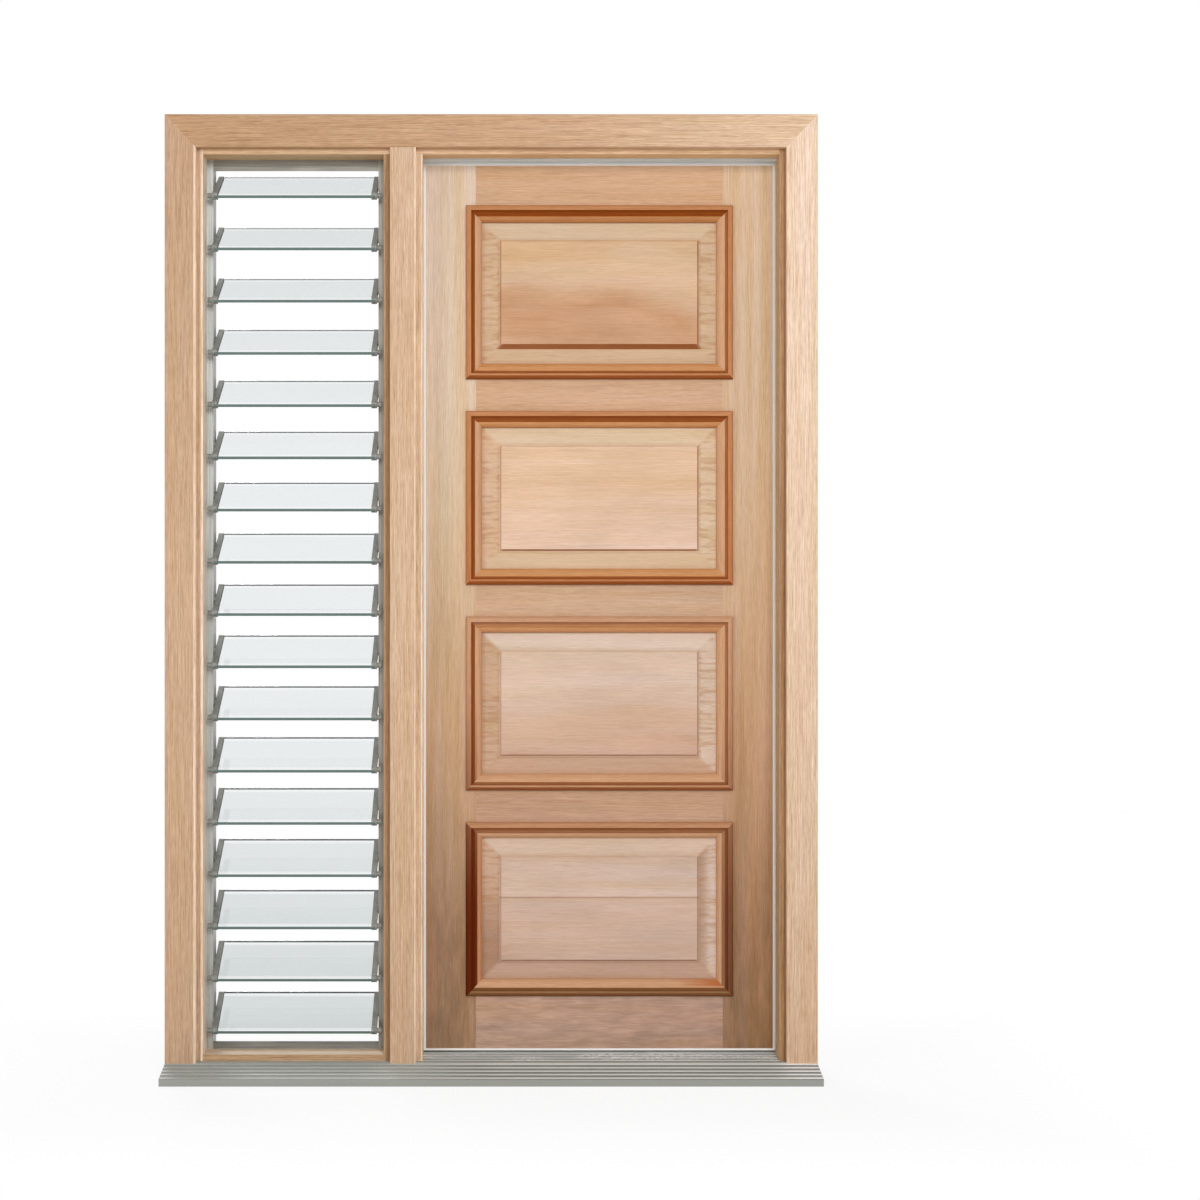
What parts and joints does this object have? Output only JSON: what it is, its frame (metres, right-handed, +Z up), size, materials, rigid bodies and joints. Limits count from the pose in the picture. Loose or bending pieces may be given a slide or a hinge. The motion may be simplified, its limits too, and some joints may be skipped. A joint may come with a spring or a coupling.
{
  "type": "panel door with louvre sidelight",
  "caption": "Timber entrance door set: raised-panel leaf with bolection mouldings, hinged in a rebated frame beside a glass louvre sidelight, on a ribbed metal sill.",
  "frame": {"origin": "underside of the sill, at the middle of the set's width, in the front plane of the face boards", "axes": "+X to the right seen from outside, +Y into the house, +Z up"},
  "size_m": [1.47, 0.2467, 2.1685],
  "materials": {
    "frame_timber": "bare, fine sawn",
    "leaf_timber": "bare, sanded",
    "panel_timber": "bare, sanded",
    "moulding_timber": "bare, red-brown",
    "sill_metal": "mill",
    "gallery_metal": "mill, dull",
    "clip_plastic": "moulded",
    "blade_glass": "clear",
    "seal": "soft, white",
    "hinge_steel": "satin"
  },
  "bodies": {
    "frame": {"sill": "sill_metal", "left_jamb": "frame_timber", "right_jamb": "frame_timber", "head": "frame_timber", "mullion": "frame_timber", "left_face_board": "frame_timber", "right_face_board": "frame_timber", "head_face_board": "frame_timber", "mullion_cover": "frame_timber", "sidelight_bottom_rail": "frame_timber", "head_seal_carrier": "gallery_metal", "left_louvre_channel": "gallery_metal", "right_louvre_channel": "gallery_metal", "louvre_top_bar": "gallery_metal", "louvre_bottom_bar": "gallery_metal", "left_blade_clips": "clip_plastic", "right_blade_clips": "clip_plastic", "louvre_blades": "blade_glass", "hinge_jamb_flaps": "hinge_steel", "hinge_pins": "hinge_steel"},
    "door_leaf": {"closing_stile": "leaf_timber", "hinge_stile": "leaf_timber", "top_rail": "leaf_timber", "cross_rail_1": "leaf_timber", "cross_rail_2": "leaf_timber", "cross_rail_3": "leaf_timber", "bottom_rail": "leaf_timber", "panel_1": "panel_timber", "panel_2": "panel_timber", "panel_3": "panel_timber", "panel_4": "panel_timber", "outer_moulding_1": "moulding_timber", "outer_moulding_2": "moulding_timber", "outer_moulding_3": "moulding_timber", "outer_moulding_4": "moulding_timber", "inner_moulding_1": "moulding_timber", "inner_moulding_2": "moulding_timber", "inner_moulding_3": "moulding_timber", "inner_moulding_4": "moulding_timber", "leaf_seal": "seal", "hinge_leaf_flaps": "hinge_steel"}
  },
  "joints": [
    {"name": "door_hinge", "type": "hinge", "parent": "frame", "child": "door_leaf", "pos_m": [0.6605, 0.133, 1.063], "axis": [0, 0, -1], "range_deg": [0, 110]}
  ]
}
